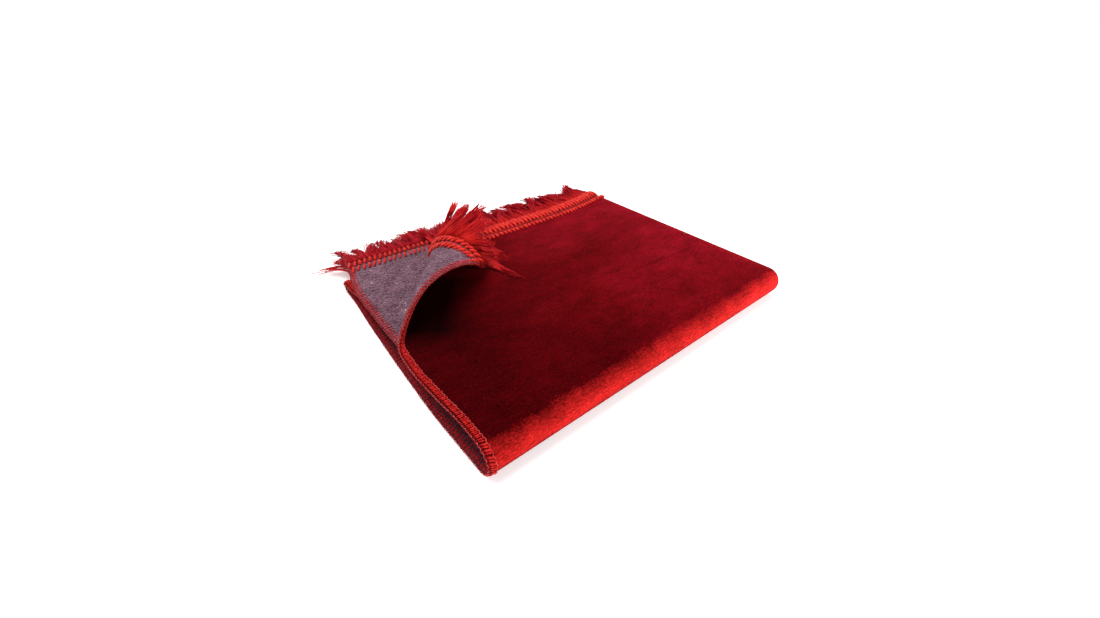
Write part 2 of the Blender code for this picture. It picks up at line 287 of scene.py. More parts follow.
def folded(across, along, rise):
    """Folded places before the free ends sag, and how far each is lifted by the curl."""
    turn = (np.clip(across, HAIRPIN_START, HAIRPIN_END) - HAIRPIN_START) / LAYER_MID
    before = HAIRPIN_X - (HAIRPIN_START - across)
    after = HAIRPIN_X + rise * np.sin(turn) - np.maximum(0, across - HAIRPIN_END)
    x = np.where(across < HAIRPIN_START, before, after)
    outer = softly(along, EDGE_TABLE[:, 0], EDGE_TABLE[:, 1], 14 * MM)
    inner = softly(along, EDGE_TABLE[:, 0], EDGE_TABLE[:, 2], 14 * MM)
    margin = np.minimum(across, CLOTH_WIDTH - across)
    x = x + np.where(across < CLOTH_WIDTH / 2, outer, inner) * np.clip(1 - margin / EDGE_FADE, 0, 1)
    depth, height, normal_y, normal_z = strip_at(along)
    over = rise * np.cos(turn)
    flat = np.stack([x, FRONT_Y + depth + over * normal_y, height + over * normal_z], axis=1)
    bent, lift = curled(flat, rise - LAYER_MID)
    top = (across < HAIRPIN_START) & (along < RUNS[0][1])
    return np.where(top[:, None], bent, flat), np.where(top, lift, 0.0)


def sagged(places, lift):
    """Let free ends fall behind the back fold, except where the corner is lifted."""
    past = np.maximum(0, places[:, 1] - FRONT_Y - FOLDS[1][0])
    places = places.copy()
    places[:, 2] -= SAG * past ** 2 * (1 - smooth(lift / LIFT_BLEND))
    places[:, 2] = np.maximum(places[:, 2], 0)
    return places


def on_cloth(across, along, rise):
    """Final places of points of the cloth or of what is stitched to it."""
    return sagged(*folded(across, along, rise))


# %% [markdown]
# ## Node graphs written as arithmetic
#
# Materials and repeating pieces are both node trees. `Graph.node` makes any node from its type, its
# settings and its inputs, and `Wire` wraps an output so that `1 - mask` or `a * b` adds the Math
# node it needs.

# %% Graph and Wire
class Wire:
    """An output of a node, usable in Python arithmetic."""

    def __init__(self, graph, socket):
        self.graph, self.socket = graph, socket

    def maths(self, operation, *others):
        values = dict(enumerate((self, *others)))
        return self.graph.node("ShaderNodeMath", {"operation": operation}, values)

    def __add__(self, other):
        return self.maths("ADD", other)

    __radd__ = __add__

    def __mul__(self, other):
        return self.maths("MULTIPLY", other)

    __rmul__ = __mul__

    def __sub__(self, other):
        return self.maths("SUBTRACT", other)

    def __rsub__(self, other):
        return self * -1 + other

    def __truediv__(self, other):
        return self.maths("DIVIDE", other)

    def __pow__(self, other):
        return self.maths("POWER", other)

    def clamped(self):
        return self.maths("MAXIMUM", 0.0).maths("MINIMUM", 1.0)


class Graph:
    """A node tree filled by short calls."""

    def __init__(self, tree):
        self.tree = tree

    def node(self, kind, settings=None, values=None, output=0):
        node = self.tree.nodes.new(kind)
        for key, value in (settings or {}).items():
            if key == "stops":
                self.set_stops(node.color_ramp, value)
            else:
                setattr(node, key, value)
        for key, value in (values or {}).items():
            if isinstance(value, Wire):
                self.tree.links.new(value.socket, node.inputs[key])
            else:
                node.inputs[key].default_value = value
        return Wire(self, node.outputs[output])

    def parts(self, vector):
        """The three numbers of a vector, as Wires."""
        node = self.node("ShaderNodeSeparateXYZ", {}, {0: vector}).socket.node
        return [Wire(self, output) for output in node.outputs]

    @staticmethod
    def set_stops(ramp, stops):
        while len(ramp.elements) < len(stops):
            ramp.elements.new(1.0)
        for element, (place, colour) in zip(ramp.elements, stops):
            element.position = place
            element.color = (*colour, 1.0)


# %% [markdown]
# ## Cloth and yarn finishes
#
# Each finish is a Principled shader with its colours and bumps worked out from the piece's flat
# places, which are kept as a UV map, or from where it lies. `Finish` adds the few mixes that all
# of them use.

# %% The finish maker
class Finish(Graph):
    """One material: its node tree, its shader and the patterns it reads."""

    def __init__(self, name, roughness, sheen=None, sheen_roughness=0.4, sheen_tint=(1, 1, 1),
                 gloss=0.1, gloss_tint=(1, 1, 1)):
        self.material = bpy.data.materials.new(name)
        self.material.use_nodes = True
        super().__init__(self.material.node_tree)
        self.shader = self.tree.nodes["Principled BSDF"]
        self.shader.inputs["Roughness"].default_value = roughness
        self.shader.inputs["Specular IOR Level"].default_value = gloss
        self.shader.inputs["Specular Tint"].default_value = (*gloss_tint, 1)
        if sheen is not None:
            self.shader.inputs["Sheen Weight"].default_value = sheen
            self.shader.inputs["Sheen Roughness"].default_value = sheen_roughness
            self.shader.inputs["Sheen Tint"].default_value = (*sheen_tint, 1)

    def scaled(self, coords, scale, squash):
        sizes = tuple(scale * part for part in squash)
        return self.node("ShaderNodeMapping", {}, {"Vector": coords, "Scale": sizes})

    def place(self, scale=1.0, squash=(1, 1, 1)):
        """Where the point lies on the object, scaled."""
        return self.scaled(self.node("ShaderNodeTexCoord", output="Object"), scale, squash)

    def flat(self, scale=1.0, squash=(1, 1, 1)):
        """Where the point lay on the flat cloth, scaled."""
        return self.scaled(self.node("ShaderNodeUVMap", {"uv_map": "flat"}), scale, squash)

    def noise(self, vector, detail=2.0, rough=0.5):
        values = {"Vector": vector, "Scale": 1.0, "Detail": detail, "Roughness": rough}
        return self.node("ShaderNodeTexNoise", {}, values)

    def span(self, wire, low, high):
        """0 at low, 1 at high, and a straight slope between."""
        values = {"Value": wire, "From Min": low, "From Max": high}
        return self.node("ShaderNodeMapRange", {"clamp": True}, values)

    def within(self, wire, rise, fall):
        """1 between two slopes and 0 outside them; each slope is where it starts and ends."""
        return self.span(wire, *rise) * (1 - self.span(wire, *fall))

    def mix(self, factor, first, second, blend="MIX"):
        values = {0: factor}
        for key, colour in ((6, first), (7, second)):
            values[key] = colour if isinstance(colour, Wire) else (*colour, 1)
        return self.node("ShaderNodeMix", {"data_type": "RGBA", "blend_type": blend}, values, output=2)

    def feed(self, socket, wire):
        self.tree.links.new(wire.socket, self.shader.inputs[socket])

    def bump(self, height, strength, distance):
        values = {"Height": height, "Strength": strength, "Distance": distance}
        self.feed("Normal", self.node("ShaderNodeBump", {}, values))


# %% [markdown]
# ### Velvet
#
# Plush is near black where you look down into the pile and bright where the pile leans away. A
# little sheen softens its edges, broad soft patches show where the pile has been brushed another
# way, and fine rows follow the knit. Which way the pile leans isn't modelled: the bright bands at
# the folds are a painted highlight, the top is painted lighter to the right and back, and the
# hollow under the curl, the crease and the overlocked margins get painted shade, all laid on as
# colour by place. They are tuned for the view from the front, and stay where they are from every
# side.

# %% Velvet finish
# The crease across the top: its depth from the front fold, its slant, and where it has that depth
CREASE_DEPTH, CREASE_SLANT, CREASE_PIVOT = 93 * MM, 0.04, 100 * MM

# The painted highlight on the front fold, along the strip: where it comes up, and where it fades below
FRONT_FOLD_START = SPANS[1][0]
FOLD_HIGHLIGHT_RISE = (FRONT_FOLD_START + 2 * MM, FRONT_FOLD_START + 14 * MM)
FOLD_HIGHLIGHT_FALL = (FRONT_FOLD_START + 17 * MM, FRONT_FOLD_START + 23 * MM)
# The corner from which the painted shadow under the curl is measured
CURL_SHADOW_CENTRE = (-STACK_WIDTH / 2, FRONT_Y + CURL_DEPTH)


def velvet_finish():
    finish = Finish("velvet", 0.75, sheen=0.16, sheen_roughness=0.28, sheen_tint=(1.0, 0.02, 0.03),
                    gloss=0.03, gloss_tint=(1.0, 0.1, 0.1))
    deep, mid, light = (0.040, 0.0002, 0.0010), (0.105, 0.0010, 0.0026), (0.225, 0.0035, 0.0100)
    x, y, _ = finish.parts(finish.place())
    broad = finish.noise(finish.place(6, (1, 1.4, 1)), 3.0, 0.55)
    # Painted light and shade: the top is darker to the left and front and lighter to the right and
    # back, mixed with broad patches of pile tone
    pile_tone_and_shade = (finish.span(x * 0.8 + y * 0.45, -0.17, 0.15) * 0.8 + broad * 0.9 - 0.42).clamped()
    pile_and_shade_colour = finish.node("ShaderNodeValToRGB", {"stops": ((0.0, deep), (0.45, mid), (1.0, light))},
                          {"Fac": pile_tone_and_shade})
    patches = finish.span(finish.noise(finish.place(16, (0.8, 1.5, 1)), 4.0, 0.6), 0.50, 0.75)
    colour = finish.mix(patches * pile_tone_and_shade * 0.40, pile_and_shade_colour, (0.30, 0.005, 0.014))

    # Painted highlight where the pile turns round a fold and catches the light
    across, along, _ = finish.parts(finish.flat())
    grain = finish.noise(finish.flat(1.0, (430, 760, 1)), 4.0, 0.8)
    fine = finish.noise(finish.flat(1.0, (900, 1100, 1)), 2.0, 0.7)
    soft = finish.noise(finish.flat(38), 3.0, 0.6)
    ragged = along + (fine - 0.5) * 7 * MM + (grain - 0.5) * 6 * MM + (soft - 0.5) * 12 * MM
    fold_highlight = finish.span(ragged, *FOLD_HIGHLIGHT_RISE) * (1 - finish.span(along, *FOLD_HIGHLIGHT_FALL) * 0.75)
    fold_noise = finish.noise(finish.flat(1.0, (30, 160, 1)), 3.0, 0.6)
    fold_highlight = fold_highlight * (0.62 + finish.span(x, -0.15, 0.15) * 0.16) * (0.78 + fold_noise * 0.4)
    # Painted highlight at the other crosswise folds as well
    for start, end, kind, *_ in SPANS[3:]:
        if kind == "arc":
            near = finish.within(along, (start - 6 * MM, start + 2 * MM), (end - 2 * MM, end + 6 * MM))
            fold_highlight = fold_highlight + near * 0.7
    middle = CLOTH_WIDTH / 2
    # A fainter painted highlight along the lengthwise fold
    side = finish.within(across, (middle - 9 * MM, middle - 1 * MM), (middle + 1 * MM, middle + 9 * MM))
    colour = finish.mix((fold_highlight + side * 0.16).clamped(), colour, (0.76, 0.021, 0.018))

    # Painted shadow in the hollow under the curl: measured from its corner, across the crease and down
    # along it
    x0, y0 = CURL_SHADOW_CENTRE
    toward = (x - x0) * -math.sin(CURL_ANGLE) + (y - y0) * math.cos(CURL_ANGLE)
    down = (x - x0) * math.cos(CURL_ANGLE) + (y - y0) * math.sin(CURL_ANGLE)
    curl_shadow = finish.span(toward, -62 * MM, -22 * MM)
    curl_shadow = curl_shadow * finish.within(down, (-12 * MM, 22 * MM), (100 * MM, 128 * MM))
    curl_shadow = curl_shadow * (1 - finish.span(along, 220 * MM, 250 * MM))

    # The pile's own grain, rows and clouds, with painted shade under the curl, in the crease, and in
    # the margin that the overlock presses down
    rows = finish.noise(finish.flat(1.0, (150, 900, 1)), 2.0, 0.6)
    cloud = finish.span(finish.noise(finish.flat(1.0, (34, 70, 1)), 4.0, 0.7), 0.30, 0.70)
    shade = finish.span(grain, 0.36, 0.66) * 0.85 + finish.span(rows, 0.35, 0.65) * 0.45 + cloud * 0.55
    # Painted shade along the crease across the top
    slant = (across - STACK_WIDTH / 2 - CREASE_PIVOT) * CREASE_SLANT
    line = along - (STACK_DEPTH - CREASE_DEPTH) - slant
    line = 1 - finish.span(line.maths("ABSOLUTE"), 0.2 * MM, 3.2 * MM)
    line = line * finish.within(across, (180 * MM, 250 * MM), (310 * MM, 340 * MM))
    # Painted shade in the margin that the overlock presses down
    margin_shade = (across - middle).maths("ABSOLUTE")
    margin_shade = finish.span(margin_shade, middle - 4.6 * MM, middle - 3.8 * MM)
    shade = (shade + 0.08) * (1 - curl_shadow * 0.95) * (1 - line * 0.28) * (1 - margin_shade * 0.6)
    colour = finish.mix(1.0, colour, shade, "MULTIPLY")
    # Painted glints: small bright flecks laid on as colour, none in the painted shadow under the curl
    glints = finish.span(finish.noise(finish.flat(900), 1.0, 0.5), 0.66, 0.78) * (1 - curl_shadow)
    finish.feed("Base Color", finish.mix(glints * 0.28, colour, (0.50, 0.03, 0.04)))
    finish.bump(grain * 0.7 + rows * 0.5, 0.5, 0.0007)
    return finish.material


# %% [markdown]
# ### Felt
#
# The backing is needled from sorted textile waste: a grey-purple ground with short pale fibres
# lying every way, a few red ones, and here and there a nearly white fleck. Inside the front fold
# it gets painted shade with specks of painted red light, because only light from the velvet
# reaches it there. That too is laid on by place.

# %% Felt finish
def fibre_mask(finish, turn, squash, low, high):
    """Short fibres all lying roughly one way: stretched noise, cut to its peaks."""
    coords = finish.flat(1.0)
    turned = finish.node("ShaderNodeMapping", {}, {"Vector": coords, "Rotation": (0, 0, turn),
                                                   "Scale": squash})
    return finish.span(finish.noise(turned, 1.0, 0.4), low, high)


def felt_finish():
    finish = Finish("felt", 0.95)
    cloud = finish.noise(finish.flat(60), 4.0, 0.7)
    ground = finish.mix(finish.span(cloud, 0.35, 0.65), (0.068, 0.028, 0.042), (0.195, 0.098, 0.130))
    speck = finish.noise(finish.flat(1.0, (620, 420, 1)), 3.0, 0.75)
    ground = finish.mix(finish.span(speck, 0.47, 0.68) * 0.8, ground, (0.33, 0.19, 0.245))
    ground = finish.mix(finish.span(speck, 0.47, 0.33) * 0.8, ground, (0.022, 0.010, 0.016))
    for turn, squash in ((0.5, (150, 900, 1)), (1.7, (130, 850, 1)), (2.6, (180, 1000, 1))):
        pale = fibre_mask(finish, turn, squash, 0.68, 0.76)
        ground = finish.mix(pale * 0.7, ground, (0.46, 0.36, 0.42))
    red = fibre_mask(finish, 1.1, (110, 700, 1), 0.66, 0.74)
    ground = finish.mix(red * 0.6, ground, (0.28, 0.03, 0.05))
    _, along, _ = finish.parts(finish.flat())
    # Painted shade inside the front fold, with specks of painted red light from the velvet; no pale
    # flecks there
    inside = finish.span(along, FRONT_FOLD_START - 60 * MM, FRONT_FOLD_START - 10 * MM)
    ground = finish.mix(inside * 0.75, ground, (0.040, 0.003, 0.008))
    ground = finish.mix(inside * finish.span(speck, 0.50, 0.60) * 0.55, ground, (0.24, 0.010, 0.022))
    fleck = finish.node("ShaderNodeTexVoronoi", {"feature": "F1"},
                        {"Vector": finish.flat(1.0, (300, 150, 1)), "Scale": 1.0})
    rare = finish.span(finish.noise(finish.flat(60), 2.0), 0.56, 0.62)
    fleck = finish.span(fleck, 0.20, 0.12) * rare * (1 - inside)
    ground = finish.mix(fleck * 0.8, ground, (0.75, 0.75, 0.80))
    finish.feed("Base Color", ground)
    finish.bump(speck * 0.7 + cloud * 0.6, 0.8, 0.0010)
    return finish.material


# %% [markdown]
# ### Yarns
#
# The trim is made of shiny soft yarn, the fringe of the same yarn cut and untwisted. The fringe is
# brightest where it leaves the braid and darkens to crimson at its tips. The overlock thread is
# finer and a little darker, with a twist.

# %% Yarn finishes
def yarn_finish(name, bright, dark, twist, rim=None):
    """A twisted yarn; rim, when given, is painted shade where it turns round the edge of the cloth."""
    finish = Finish(name, 0.4, sheen=0.25, sheen_roughness=0.3, sheen_tint=(1.0, 0.10, 0.08),
                    gloss=0.12, gloss_tint=(1.0, 0.45, 0.40))
    shade = finish.noise(finish.flat(1.0, (520, 210, 1)), 3.0, 0.7)
    colour = finish.mix(finish.span(shade, 0.32, 0.62), dark, bright)
    if rim:
        # Painted shade on the rim, where the thread turns round the edge of the cloth
        inward, _, _ = finish.parts(finish.flat())
        colour = finish.mix(finish.span(inward, 1.3 * MM, 0.3 * MM), colour, rim)
    finish.feed("Base Color", colour)
    ply = finish.noise(finish.place(twist), 2.0, 0.5)
    finish.bump(ply, 0.6, 0.0008)
    return finish.material


def fringe_finish():
    finish = Finish("fringe_yarn", 0.5, sheen=0.15, sheen_roughness=0.35, sheen_tint=(1.0, 0.08, 0.08),
                    gloss=0.08, gloss_tint=(1.0, 0.3, 0.3))
    across, reach, _ = finish.parts(finish.flat())
    strand = finish.span(finish.noise(finish.flat(1.0, (800, 14, 1)), 2.0, 0.7), 0.35, 0.68)
    bright = finish.mix(strand, (0.42, 0.003, 0.006), (0.98, 0.040, 0.030))
    dark = finish.mix(strand, (0.22, 0.0016, 0.008), (0.72, 0.018, 0.034))

    # The first half of the width lies on top, and the first part of that stands up with the curl.
    # The half below gets painted shade, and the crest on the curl stays bright further out: painted
    # light.
    upper = 1 - finish.span(across, 340 * MM, 360 * MM)
    lit_crest = 1 - finish.span(across, 84 * MM, 110 * MM)
    bunch = finish.noise(finish.flat(1.0, (70, 22, 1)), 2.0, 0.6) * 16 * MM
    far = finish.span(reach + bunch, 12 * MM, 36 * MM)
    tint = finish.mix((far * (1 - lit_crest * 0.45) + (1 - upper) * 0.8).clamped(), bright, dark)
    finish.feed("Base Color", tint)
    return finish.material


FINISHES = {
    "velvet": velvet_finish(),
    "felt": felt_finish(),
    "heading_yarn": yarn_finish("heading_yarn", (0.95, 0.045, 0.030), (0.30, 0.003, 0.006), 1500),
    "braid_tape": yarn_finish("braid_tape", (0.30, 0.004, 0.008), (0.10, 0.001, 0.003), 1500),
    "fringe_yarn": fringe_finish(),
    # The overlock thread's rim colour is painted shade
    "overlock_thread": yarn_finish("overlock_thread", (0.80, 0.024, 0.020), (0.26, 0.002, 0.005), 2200,
                                   rim=(0.24, 0.004, 0.006)),
    "chain_thread": yarn_finish("chain_thread", (0.85, 0.09, 0.08), (0.45, 0.012, 0.018), 2200),
}
print("finishes:", sorted(FINISHES))

# %% [markdown]
# ## Meshes of folded pieces
#
# A piece is a numpy table of flat places and a list of faces. `make_piece` carries it to its folded
# place, keeps the flat places as a UV map named `flat`, and turns the faces outwards if the fold
# has mirrored them.

# %% Piece maker
def make_piece(name, flat, faces, places, finish):
    """A mesh object from its flat places, its faces and the places they are carried to."""
    data = bpy.data.meshes.new(name)
    data.from_pydata(places.tolist(), [], faces.tolist() if hasattr(faces, "tolist") else faces)
    corners = np.zeros(len(data.loops), dtype=np.int64)
    data.loops.foreach_get("vertex_index", corners)
    layer = data.uv_layers.new(name="flat")
    layer.data.foreach_set("uv", flat[corners][:, :2].astype(np.float32).ravel())
    if signed_volume(data) < 0:
        data.flip_normals()
    data.materials.append(FINISHES[finish])
    data.shade_smooth()
    piece = bpy.data.objects.new(name, data)
    bpy.context.scene.collection.objects.link(piece)
    return piece


def triangles_of(data):
    data.calc_loop_triangles()
    return len(data.loop_triangles)


def signed_volume(data):
    """Volume of a closed mesh, negative when its faces point inwards."""
    data.calc_loop_triangles()
    corners = np.zeros(len(data.loop_triangles) * 3, dtype=np.int64)
    data.loop_triangles.foreach_get("vertices", corners)
    places = np.zeros(len(data.vertices) * 3)
    data.vertices.foreach_get("co", places)
    a, b, c = places.reshape(-1, 3)[corners.reshape(-1, 3)].transpose(1, 0, 2)
    return float(np.einsum("ij,ij->i", a, np.cross(b, c)).sum() / 6)


def grid_faces(rows, columns):
    """Faces of a closed slab: two grids of rows x columns places, one above the other, and a rim."""
    index = np.arange(rows * columns).reshape(rows, columns)
    quads = np.stack([index[:-1, :-1], index[:-1, 1:], index[1:, 1:], index[1:, :-1]], axis=-1)
    upper = quads.reshape(-1, 4)
    lower = upper[:, ::-1] + rows * columns
    border = np.concatenate([index[0, :-1], index[:-1, -1], index[-1, :0:-1], index[:0:-1, 0]])
    after = np.roll(border, -1)
    rim = np.stack([after, border, border + rows * columns, after + rows * columns], axis=-1)
    return np.concatenate([upper, lower, rim])


# %% [markdown]
# ## The two cloths
#
# Velvet and felt are each one long thin sheet. Their grids are fine where the cloth curls or folds
# and coarse inside the stack. Overlocking squeezes the sides, so both cloths thin out there. The
# top layer also gets what handling leaves: a faint crease across it and low, soft swells.

# %% Grids of flat places
def stretch(*stops):
    """Places that run through the given stops: each stop is (place, spacing up to it)."""
    places = [stops[0][0]]
    for (start, _), (end, spacing) in zip(stops, stops[1:]):
        count = max(1, round(abs(end - start) / spacing))
        places.extend(np.linspace(start, end, count + 1)[1:])
    return np.array(places)


def across_places(fine):
    """Distances across the cloth, from edge to edge."""
    side = 10 * MM
    left = stretch((0, 0), (side, 1.2 * MM), (130 * MM, fine), (HAIRPIN_START - side, 2.5 * fine),
                   (HAIRPIN_START, 2 * MM), (HAIRPIN_END, 0.5 * MM))
    right = stretch((HAIRPIN_END, 0), (HAIRPIN_END + side, 2.5 * MM),
                    (CLOTH_WIDTH - 60 * MM, 4 * fine), (CLOTH_WIDTH - side, 2 * fine),
                    (CLOTH_WIDTH, 1.2 * MM))
    return np.concatenate([left, right[1:]])


# Spacing of the rows from the front fold to the last fold: fine in the folds, coarse between them
ROW_SPACINGS = (1.3 * MM, 8 * MM, 0.9 * MM, 8 * MM, 0.9 * MM)
TOP_RUN = 240 * MM
LAST_RUN_ROWS = 31


def cloth_grid(fine):
    """Flat places of the whole cloth as two tables, across and along."""
    across = across_places(fine)
    rows = []
    start = end_along(0, across)
    for share in np.linspace(0, 1, round(TOP_RUN / fine) + 1)[:-1]:
        rows.append(start + (SPANS[0][1] - start) * share)
    for span, spacing in zip(SPANS[1:-1], ROW_SPACINGS):
        for along in stretch((span[0], 0), (span[1], spacing))[:-1]:
            rows.append(np.full_like(across, along))
    finish = end_along(1, across)
    for share in np.linspace(0, 1, LAST_RUN_ROWS):
        rows.append(SPANS[-1][0] + (finish - SPANS[-1][0]) * share)
    along = np.array(rows)
    return np.broadcast_to(across, along.shape), along


EDGE_SQUEEZE = 0.45
EDGE_SQUEEZE_REACH = 3.5 * MM


def squeezed(across, rise):
    """Heights drawn towards the layer's middle near the overlocked sides."""
    margin = np.minimum(across, CLOTH_WIDTH - across)
    return LAYER_MID + (rise - LAYER_MID) * (1 - EDGE_SQUEEZE * np.exp(-margin / EDGE_SQUEEZE_REACH))


def handled(across, along):
    """Height that handling has given the top layer: one faint crease and low swells."""
    depth = STACK_DEPTH - along
    x = across - STACK_WIDTH / 2
    top = smooth((depth - 16 * MM) / (25 * MM)) * smooth((along + 30 * MM) / (30 * MM))
    top = top * (across < HAIRPIN_START) * smooth((HAIRPIN_START - across) / (12 * MM))
    off_crease = depth - (CREASE_DEPTH - CREASE_SLANT * (x - CREASE_PIVOT))
    crease = -0.55 * MM * np.exp(-(off_crease / (2.2 * MM)) ** 2) * smooth(x / (60 * MM))
    ridge = 0.35 * MM * np.exp(-((off_crease - 6 * MM) / (5 * MM)) ** 2) * smooth(x / (60 * MM))
    swell = 0.35 * MM * np.sin(x * 38 + depth * 17) * np.sin(depth * 31 + 1.1)
    return (crease + ridge + swell * 0.6 + 0.25 * MM) * top


def cloth(name, low, high, finish, fine):
    """One folded cloth between two heights of the strip."""
    across, along = cloth_grid(fine)
    rows, columns = along.shape
    across, along = across.ravel(), along.ravel()
    lift = handled(across, along)
    layers = [squeezed(across, np.full_like(across, height)) + lift for height in (high, low)]
    flat = np.concatenate([np.stack([across, along, layer], axis=1) for layer in layers])
    piece = make_piece(name, flat, grid_faces(rows, columns), on_cloth(*flat.T), finish)
    print(name, "rows", rows, "columns", columns, "triangles", triangles_of(piece.data))
    return piece


velvet = cloth("velvet_cloth", VELVET_IN, VELVET_OUT, "velvet", 3.0 * MM)
felt = cloth("felt_cloth", FELT_IN, FELT_OUT, "felt", 4.0 * MM)

# %% [markdown]
# ## Rows of repeated pieces
#
# Stitches and loops repeat along a straight line while everything is still flat. A small Geometry
# Nodes tree copies one piece along a line, turning and sizing each copy a little differently, and
# the row is bent to its place afterwards.

# %% Geometry Nodes helpers
def new_growth(name, sockets):
    """An empty geometry tree with named inputs, and a Wire for each."""
    tree = bpy.data.node_groups.new(name, "GeometryNodeTree")
    tree.interface.new_socket("Geometry", in_out="INPUT", socket_type="NodeSocketGeometry")
    for label, kind in sockets.items():
        tree.interface.new_socket(label, in_out="INPUT", socket_type="NodeSocket" + kind)
    tree.interface.new_socket("Geometry", in_out="OUTPUT", socket_type="NodeSocketGeometry")
    graph = Graph(tree)
    source = tree.nodes.new("NodeGroupInput")
    wires = {output.name: Wire(graph, output) for output in source.outputs if output.name}
    return graph, wires


def close_growth(graph, geometry, material):
    """Realize the instances, set the material and join the result to the output."""
    solid = graph.node("GeometryNodeRealizeInstances", {}, {0: geometry})
    solid = graph.node("GeometryNodeSetMaterial", {}, {"Geometry": solid, "Material": material})
    output = graph.tree.nodes.new("NodeGroupOutput")
    graph.tree.links.new(solid.socket, output.inputs[0])
    return graph.tree


def random_float(graph, low, high, seed):
    return graph.node("FunctionNodeRandomValue", {"data_type": "FLOAT"},
                      {2: low, 3: high, "Seed": seed}, output=1)


def either_way(graph, reach, seed):
    """A random number from -reach to reach."""
    return random_float(graph, reach * -1, reach, seed)


def vector(graph, *parts):
    return graph.node("ShaderNodeCombineXYZ", {}, dict(enumerate(parts)))


def grow(tree, source, settings):
    """Evaluate a tree on a mesh and return the flat places and faces that it makes."""
    holder = bpy.data.objects.new("growing", source)
    bpy.context.scene.collection.objects.link(holder)
    modifier = holder.modifiers.new("growth", "NODES")
    modifier.node_group = tree
    for item in tree.interface.items_tree:
        if item.in_out == "INPUT" and item.name in settings:
            modifier[item.identifier] = settings[item.name]
    holder.update_tag()
    bpy.context.view_layer.update()
    evaluated = holder.evaluated_get(bpy.context.evaluated_depsgraph_get())
    made = bpy.data.meshes.new_from_object(evaluated)
    places = np.zeros(len(made.vertices) * 3)
    made.vertices.foreach_get("co", places)
    faces = [tuple(polygon.vertices) for polygon in made.polygons]
    roots = np.zeros(len(made.vertices))
    if "root" in made.attributes:
        made.attributes["root"].data.foreach_get("value", roots)
    bpy.data.objects.remove(holder)
    bpy.data.meshes.remove(made)
    return places.reshape(-1, 3), faces, roots


# %% The row tree
def row_tree():
    """Copies of the piece along +Y, each with its own small turn, size and place."""
    graph, wires = new_growth("stitch_row", {"Count": "Int", "Pitch": "Float", "Turn": "Float",
                                             "Size": "Float", "Wander": "Float",
                                             "Seed": "Int", "Material": "Material"})
    seed, wander = wires["Seed"], wires["Wander"]
    step = vector(graph, 0.0, wires["Pitch"], 0.0)
    line = graph.node("GeometryNodeMeshLine", {"mode": "OFFSET"},
                      {"Count": wires["Count"], "Offset": step})
    shift = vector(graph, either_way(graph, wander, seed), either_way(graph, wander, seed + 5), 0.0)
    points = graph.node("GeometryNodeSetPosition", {}, {"Geometry": line, "Offset": shift})
    turn = vector(graph, 0.0, 0.0, either_way(graph, wires["Turn"], seed + 1))
    size = random_float(graph, 1 - wires["Size"], 1 + wires["Size"], seed + 2)
    copies = graph.node("GeometryNodeInstanceOnPoints", {},
                        {"Points": points, "Instance": wires["Geometry"],
                         "Rotation": turn, "Scale": vector(graph, size, size, size)})
    return close_growth(graph, copies, wires["Material"])


ROW_TREE = row_tree()

# %% [markdown]
# A stitch or a loop is a short length of round thread. `thread` sweeps a ring of points along a
# path, so one function makes every kind of stitch from a few named points.

# %% Thread along a path
def tube_faces(rings, sides):
    """Faces of a tube with closed ends, whose places run ring after ring."""
    faces = []
    for ring in range(rings - 1):
        for corner in range(sides):
            after = (corner + 1) % sides
            faces.append((ring * sides + corner, ring * sides + after,
                          (ring + 1) * sides + after, (ring + 1) * sides + corner))
    faces.append(tuple(range(sides))[::-1])
    faces.append(tuple((rings - 1) * sides + corner for corner in range(sides)))
    return faces


def thread(path, radius, sides):
    """A tube along a path of points, as places and faces; radius may be one for each point."""
    path = np.array(path, dtype=float)
    ahead = np.roll(path, -1, axis=0) - np.roll(path, 1, axis=0)
    ahead[0], ahead[-1] = path[1] - path[0], path[-1] - path[-2]
    ahead /= np.linalg.norm(ahead, axis=1)[:, None]
    side = np.cross(ahead, (0, 0, 1.0))
    weak = np.linalg.norm(side, axis=1) < 0.2
    side[weak] = np.cross(ahead[weak], (0, 1.0, 0))
    side /= np.linalg.norm(side, axis=1)[:, None]
    up = np.cross(side, ahead)
    turns = np.linspace(0, 2 * math.pi, sides, endpoint=False)
    sizes = np.broadcast_to(radius, len(path))[:, None, None]
    rings = (path[:, None] + side[:, None] * np.cos(turns)[None, :, None] * sizes
             + up[:, None] * np.sin(turns)[None, :, None] * sizes)
    return rings.reshape(-1, 3), tube_faces(len(path), sides)


def joined(*shapes):
    """Several shapes as one."""
    places, faces, start = [], [], 0
    for shape_places, shape_faces in shapes:
        places.append(shape_places)
        faces.extend(tuple(corner + start for corner in face) for face in shape_faces)
        start += len(shape_places)
    return np.concatenate(places), faces


def row_of(shape, count, pitch, seed, turn=0.0, size=0.0, wander=0.0):
    """The flat places and faces of a row of one shape; `make_piece` gives it its own finish."""
    data = bpy.data.meshes.new("unit")
    data.from_pydata(shape[0].tolist(), [], shape[1])
    settings = {"Count": count, "Pitch": pitch, "Turn": turn, "Size": size, "Wander": wander,
                "Seed": seed, "Material": FINISHES["heading_yarn"]}
    return grow(ROW_TREE, data, settings)[:2]


# %% [markdown]
# ## Overlocked sides
#
# An overlocker wraps thread round the raw edge. Here each stitch is two thick strokes round the
# rim, from the velvet to the felt. A finer thread makes small arches along the inner line on the
# velvet side, and another runs up and down the rim between the strokes. The thick and the fine
# threads are two pieces, because they differ in colour, and a row of each runs down both long sides.

# %% One overlock stitch
STITCH_PITCH = 3.4 * MM
BAND_WIDTH = 4.4 * MM
THREAD_RADIUS = 0.40 * MM
FACE_HEIGHT = 1.5 * MM
EDGE_TOP = 1.05 * MM
OVERLOCK_LIFT = 0.25 * MM
WRAP_SIZES = np.array((1.0, 1.0, 1.0, 0.9, 0.8, 0.75, 0.5))

